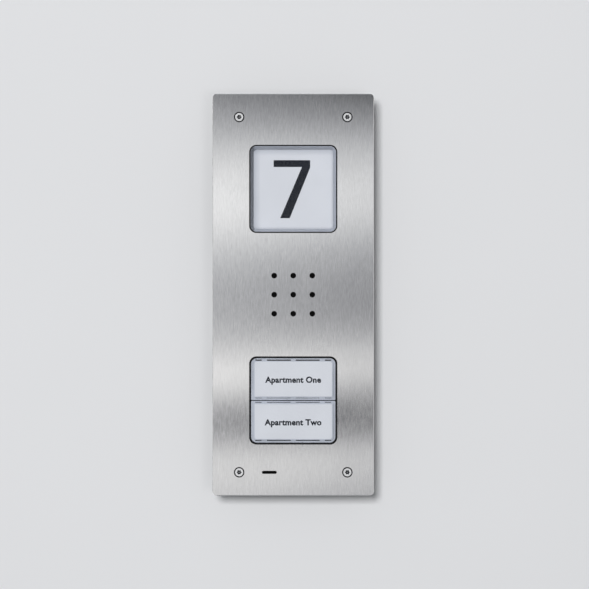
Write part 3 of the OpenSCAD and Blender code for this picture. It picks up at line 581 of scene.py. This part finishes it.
def coil_mesh(middle, radius, front, length, wire, turns):
    """Points and faces of one coil of wire, wound along Y from front. With u turns wound, from 0 to turns,
    the centre line is (radius * cos(2 pi u), rise(u), radius * sin(2 pi u)) from middle. rise is steep, but
    for a closed turn at each end. The skin is that line plus half a wire's width times
    cos(b) * outward + sin(b) * across."""
    steps, sides, closed_pitch = 24, 10, 1.1 * wire
    wound = np.linspace(0, turns, round(turns * steps) + 1)
    angle = 2 * np.pi * wound
    rise = np.interp(wound, [0, 1, turns - 1, turns], [0, closed_pitch, length - closed_pitch, length])
    outward = np.stack([np.cos(angle), np.zeros_like(angle), np.sin(angle)], axis=-1)
    along = np.stack(
        [-radius * np.sin(angle), np.gradient(rise, angle), radius * np.cos(angle)], axis=-1)
    along /= np.linalg.norm(along, axis=-1, keepdims=True)
    across = np.cross(along, outward)
    axis = np.stack(
        [np.full_like(rise, middle[0]), front + rise, np.full_like(rise, middle[1])], axis=-1)
    centre = axis + radius * outward
    b = np.linspace(0, 2 * np.pi, sides, endpoint=False)[None, :, None]
    skin = centre[:, None] + wire / 2 * (np.cos(b) * outward[:, None] + np.sin(b) * across[:, None])
    points = np.concatenate([skin.reshape(-1, 3), centre[[0, -1]]])
    ring = np.arange(sides)
    following = (ring + 1) % sides
    start = np.arange(len(wound) - 1)[:, None] * sides
    beyond = start + sides
    quads = np.stack([start + ring, start + following, beyond + following, beyond + ring], axis=-1)
    last, tip = (len(wound) - 1) * sides, len(wound) * sides
    caps = np.concatenate([
        np.stack([np.full(sides, tip), following, ring], axis=-1),
        np.stack([np.full(sides, tip + 1), last + ring, last + following], axis=-1)])
    return points, quads.reshape(-1, 4), caps


def button_springs(side, finish):
    """The two coil springs behind a call button. They stand for the CAD springs, which are hidden."""
    node, joint = f"{side}_button_springs", f"{side}_button_press"
    low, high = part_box(node)
    half = (high.z - low.z) / 2
    wire = finish.spring_wire
    points, faces, smooth = [], [], []
    for x in (low.x + half, high.x - half):
        skin, quads, caps = coil_mesh(
            middle=(x, low.z + half), radius=half - wire / 2, front=low.y + wire / 2,
            length=high.y - low.y - wire, wire=wire, turns=finish.spring_turns)
        first = sum(map(len, points))
        points.append(skin)
        faces += (quads + first).tolist() + (caps + first).tolist()
        smooth += [True] * len(quads) + [False] * len(caps)
    mesh = bpy.data.meshes.new(f"{side}_coil_springs")
    mesh.from_pydata(np.concatenate(points).tolist(), [], faces)
    mesh.polygons.foreach_set("use_smooth", smooth)
    mesh.update()
    mesh.materials.append(bpy.data.materials["Spring Steel"])
    piece = new_object(f"{side}_coil_springs", mesh)
    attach(piece, "panel")
    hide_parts(node)
    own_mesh(piece)


def label_text(name, words, cap_height, node, body, print_material):
    """Flat printed words on a label: the built-in font's outlines, a little emboldened and made a thin closed
    mesh, then set upright by x = u * s + middle, z = v * s + baseline, y = just in front of the label."""
    curve = bpy.data.curves.new(name + "_outline", "FONT")
    curve.body = words
    curve.align_x = "CENTER"
    curve.extrude = 0.5
    curve.offset = 0.04
    curve.space_character = 1.05
    curve.resolution_u = 6
    outline = new_object(name + "_outline", curve)
    bpy.context.view_layer.update()
    mesh = bpy.data.meshes.new_from_object(outline.evaluated_get(bpy.context.evaluated_depsgraph_get()))
    bpy.data.objects.remove(outline)
    points = np.empty(len(mesh.vertices) * 3)
    mesh.vertices.foreach_get("co", points)
    points = points.reshape(-1, 3)
    low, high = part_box(node)
    scale = cap_height / points[:, 1].max()
    ink, film_gap = 0.012 * MILLIMETRE, 0.004 * MILLIMETRE
    share_below_middle = 0.58
    baseline = (low.z + high.z) / 2 - share_below_middle * cap_height
    placed = np.column_stack([
        points[:, 0] * scale + (low.x + high.x) / 2,
        low.y - film_gap - ink * (points[:, 2] + 0.5),
        points[:, 1] * scale + baseline])
    mesh.vertices.foreach_set("co", placed.ravel())
    mesh.update()
    piece = new_object(name, mesh)
    mesh.materials.clear()
    mesh.materials.append(print_material)
    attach(piece, body)


def flat_sheet(name, across, up, place):
    """A sheet of two by two quads: place(u, v) for u from -across / 2 to across / 2 and v from -up / 2 to
    up / 2."""
    u, v = np.meshgrid(np.linspace(-across / 2, across / 2, 3), np.linspace(-up / 2, up / 2, 3))
    points = np.stack(place(u, v), axis=-1).reshape(-1, 3)
    number = np.arange(u.size).reshape(u.shape)
    faces = np.stack([number[:-1, :-1], number[:-1, 1:], number[1:, 1:], number[1:, :-1]], axis=-1)
    mesh = bpy.data.meshes.new(name)
    mesh.from_pydata(points.tolist(), [], faces.reshape(-1, 4).tolist())
    mesh.update()
    return new_object(name, mesh)


# ---- Operators ------------------------------------------------------------------------------


class INTERCOM_OT_finishes(Operator):
    """Gives every part of the panel its material"""

    bl_idname = "intercom.finishes"
    bl_label = "Finishes"

    def execute(self, context):
        finishes = dress(context.scene.intercom_finish)
        for entry in frame["record"]["subparts"]:
            slots = frame["nodes"][entry["node"]].data.materials
            slots.clear()
            slots.append(finishes[entry["material_slot"]])
            if entry["material_slot"] == "clear_plastic":
                # Lamps then light what lies behind the covers, without the grain of caustics
                hide_from(frame["nodes"][entry["node"]], "shadow", "diffuse")
        return {"FINISHED"}


class INTERCOM_OT_springs(Operator):
    """Winds the coil springs behind both call buttons"""

    bl_idname = "intercom.springs"
    bl_label = "Button Springs"

    def execute(self, context):
        for side in ("upper", "lower"):
            button_springs(side, context.scene.intercom_finish)
        return {"FINISHED"}


class INTERCOM_OT_label_text(Operator):
    """Prints the words on both name labels"""

    bl_idname = "intercom.label_text"
    bl_label = "Label Text"

    def execute(self, context):
        finish = context.scene.intercom_finish
        ink = bpy.data.materials["Print"]
        for side, words in (("upper", finish.upper_text), ("lower", finish.lower_text)):
            label_text(
                f"{side}_label_text", words, finish.text_height, f"{side}_name_label", f"{side}_button", ink)
        return {"FINISHED"}


class INTERCOM_OT_studio(Operator):
    """Sets up the wall, the camera and the lights"""

    bl_idname = "intercom.studio"
    bl_label = "Studio"

    def execute(self, context):
        studio = context.scene.intercom_studio
        set_camera(context.scene, studio)
        set_wall(studio)
        set_sky(context.scene, studio)
        set_card(studio)
        set_side_cards(studio)
        set_lights(studio)
        context.scene.view_settings.view_transform = "Standard"
        return {"FINISHED"}


# ---- Studio ---------------------------------------------------------------------------------


def set_camera(scene, studio):
    """A long lens square on to the plate, a little to the right of its middle."""
    sensor_width, aside, above = 36, 0.00077, 0.0001
    camera = new_object("camera", bpy.data.cameras.new("camera"))
    camera.data.sensor_width = sensor_width
    camera.data.lens = sensor_width * studio.view_distance / studio.view_width
    camera.location = (aside, PLATE_LOW.y - studio.view_distance, above)
    camera.rotation_euler = (np.pi / 2, 0, 0)
    scene.camera = camera


def set_wall(studio):
    """A pale wall just behind the housing. It is seen from the front only, and catches shadows."""
    wall_size, gap = 4.0, 0.0002
    wall = flat_sheet("wall", wall_size, wall_size, lambda u, v: (u, np.full_like(u, gap), v))
    made, tree, shader = start_material("Wall Paint", Roughness=0.9, Specular_IOR_Level=0.1)
    grain = placed_group(tree, "Moulded Grain", Grain_Size=0.004)
    feed(tree, shader, Base_Color=shaded(tree, grain["Unevenness"], studio.wall_color, 0.995, 1.005))
    away = add_node(tree, "ShaderNodeNewGeometry").outputs["Backfacing"]
    clear = add_node(tree, "ShaderNodeBsdfTransparent").outputs[0]
    both = add_node(tree, "ShaderNodeMixShader", {0: away, 1: shader.outputs[0], 2: clear})
    tree.links.new(both.outputs[0], tree.nodes["Material Output"].inputs["Surface"])
    wall.data.materials.append(made)
    hide_from(wall, "diffuse", "glossy", "transmission", "shadow")


def set_sky(scene, studio):
    """An even pale light all round, in the wall's colour where the camera sees it. Metal mirrors a brighter
    one, which fades towards the floor and behind the panel."""
    world = bpy.data.worlds.new("sky")
    world.use_nodes = True
    scene.world = world
    tree = world.node_tree
    back = tree.nodes["Background"]
    ray = add_node(tree, "ShaderNodeLightPath").outputs
    direction = add_node(tree, "ShaderNodeTexCoord").outputs["Generated"]
    parts = parts_of(tree, direction)
    faded, sky_color = 0.5, (0.95, 0.98, 1.0)
    upward = mapped(tree, parts["Z"], -0.5, 0.6, faded * studio.mirrored_sky, studio.mirrored_sky)
    mirrored = arithmetic(tree, "MULTIPLY", upward, mapped(tree, parts["Y"], 0.1, 0.7, 1.0, faded))
    seen = ray["Is Camera Ray"]
    color = blended(tree, seen, opaque(sky_color), opaque(studio.wall_color))
    strength = mixed(tree, seen, mixed(tree, ray["Is Glossy Ray"], studio.sky_strength, mirrored), 1.0)
    tree.links.new(color, back.inputs["Color"])
    tree.links.new(strength, back.inputs["Strength"])


def glow_only(tree, inputs):
    """Makes a material give out light and nothing else."""
    glow = add_node(tree, "ShaderNodeEmission", inputs)
    tree.links.new(glow.outputs[0], tree.nodes["Material Output"].inputs["Surface"])


# Brightness of the card against height on the plate that mirrors it, as (height in mm, brightness)
CARD_BANDS = (
    (-140, 0.46), (-112, 0.77), (-98, 0.83), (-88, 0.35), (-78, 0.18), (-68, 0.31), (-56, 0.83),
    (-43, 0.95), (-30, 0.57), (-14, 0.41), (4, 0.39), (22, 0.50), (36, 0.70), (52, 0.90), (72, 0.87),
    (90, 0.67), (108, 0.37), (126, 0.17), (150, 0.10),
)


def set_card(studio):
    """A card behind the camera that is seen only in reflections: soft bright and dark bands, one above
    another, cooler where they are dark, warmer low down and brighter on the left."""
    card_width, card_height, behind_camera = 3.0, 1.2, 0.4
    band_slope, side_reach, side_change, darkest = -0.05, 0.5, 0.38, 0.02
    card_distance = studio.view_distance + behind_camera
    reach = 1 + card_distance / studio.view_distance
    depth = PLATE_LOW.y - card_distance
    card = flat_sheet(
        "reflection_card", card_width, card_height, lambda u, v: (u, np.full_like(u, depth), v))
    made, tree, _ = start_material("Card")
    parts = parts_of(tree, object_place(tree))
    height = arithmetic(tree, "ADD", parts["Z"], arithmetic(tree, "MULTIPLY", parts["X"], band_slope))
    low, high = CARD_BANDS[0][0], CARD_BANDS[-1][0]
    along = mapped(tree, height, low * MILLIMETRE * reach, high * MILLIMETRE * reach)
    ramp = add_node(tree, "ShaderNodeValToRGB", {"Fac": along})
    stops = ramp.color_ramp.elements
    while len(stops) < len(CARD_BANDS):
        stops.new(0.5)
    for stop, (millimetres, value) in zip(stops, CARD_BANDS):
        stop.position = (millimetres - low) / (high - low)
        stop.color = opaque((value, value, value))
    side = mapped(tree, parts["X"], -side_reach, side_reach, side_change, -side_change)
    level = arithmetic(tree, "MAXIMUM", arithmetic(tree, "ADD", ramp.outputs["Color"], side), darkest)
    cool, warm, plain = (0.945, 0.965, 1.02), (1.006, 0.996, 0.987), (1.0, 1.0, 1.0)
    cool_to_plain = blended(tree, mapped(tree, level, 0.15, 0.9), opaque(cool), opaque(plain))
    warm_to_plain = blended(tree, mapped(tree, along, 0.35, 0.55), opaque(warm), opaque(plain))
    glow_only(tree, {
        "Color": blended(tree, 1.0, cool_to_plain, warm_to_plain, how="MULTIPLY"),
        "Strength": arithmetic(tree, "MULTIPLY", level, studio.card_strength)})
    card.data.materials.append(made)
    show_in_reflections(card)


def show_in_reflections(card):
    """Keeps a card out of everything but mirror images."""
    hide_from(card, "camera", "diffuse", "transmission", "shadow")


def set_side_cards(studio):
    """Two bright cards level with the plate, one each side, that its chamfered rim mirrors. They are dimmer
    towards the camera."""
    card_depth, card_height, front_strength = 0.9, 1.6, 0.6
    made, tree, _ = start_material("Side Card")
    depth = parts_of(tree, object_place(tree))["Y"]
    glow_only(tree, {"Strength": mapped(tree, depth, -0.5, 0.4, front_strength, studio.side_strength)})
    for name, x in (("left_card", -1.0), ("right_card", 1.0)):
        card = flat_sheet(name, card_depth, card_height, lambda u, v: (np.full_like(u, x), u, v))
        card.data.materials.append(made)
        show_in_reflections(card)


def softbox(name, place, size, power, mirrored=False):
    """A square area light that points at the middle of the panel's back. It shows in reflections only if
    mirrored."""
    light = bpy.data.lights.new(name, "AREA")
    light.shape, light.size, light.energy = "SQUARE", size, power
    box = new_object(name, light)
    box.location = place
    x, y, z = place
    box.rotation_euler = (
        float(np.arccos(z / np.linalg.norm(place))), 0.0, float(np.arctan2(-y, -x) - np.pi / 2))
    if not mirrored:
        hide_from(box, "glossy", "transmission")


def set_lights(studio):
    """The key softbox at upper left, close to the camera's line, a weak fill opposite it, and two soft ones
    behind for the back."""
    fill_share = 0.1
    softbox("key", place=(-0.54, -3.5, 0.62), size=0.85, power=studio.key_power)
    softbox("fill", place=(0.9, -3.5, -0.45), size=0.8, power=studio.key_power * fill_share)
    softbox("rear_left", place=(-0.5, 2.0, 0.9), size=1.5, power=22, mirrored=True)
    softbox("rear_right", place=(1.3, 1.2, 0.9), size=1.2, power=12, mirrored=True)


# ---- Panel and registration -----------------------------------------------------------------


class INTERCOM_PT_sidebar(Panel):
    """Lists the panel's settings and its steps"""

    bl_idname = "INTERCOM_PT_sidebar"
    bl_label = "Door Intercom"
    bl_space_type = "VIEW_3D"
    bl_region_type = "UI"
    bl_category = "Intercom"

    def draw(self, context):
        for group in (context.scene.intercom_finish, context.scene.intercom_studio):
            for name in group.__annotations__:
                self.layout.prop(group, name)
        for step in OPERATORS:
            self.layout.operator(step.bl_idname)


OPERATORS = (INTERCOM_OT_finishes, INTERCOM_OT_springs, INTERCOM_OT_label_text, INTERCOM_OT_studio)
CLASSES = (IntercomFinish, IntercomStudio) + OPERATORS + (INTERCOM_PT_sidebar,)


def register():
    """Adds the panel's classes and settings to Blender."""
    for item in CLASSES:
        bpy.utils.register_class(item)
    bpy.types.Scene.intercom_finish = PointerProperty(type=IntercomFinish)
    bpy.types.Scene.intercom_studio = PointerProperty(type=IntercomStudio)


def unregister():
    """Takes them out again."""
    del bpy.types.Scene.intercom_studio
    del bpy.types.Scene.intercom_finish
    for item in reversed(CLASSES):
        bpy.utils.unregister_class(item)


def main():
    """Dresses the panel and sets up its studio."""
    register()
    bpy.ops.intercom.finishes()
    bpy.ops.intercom.springs()
    bpy.ops.intercom.label_text()
    bpy.ops.intercom.studio()


if __name__ == "__main__":
    main()
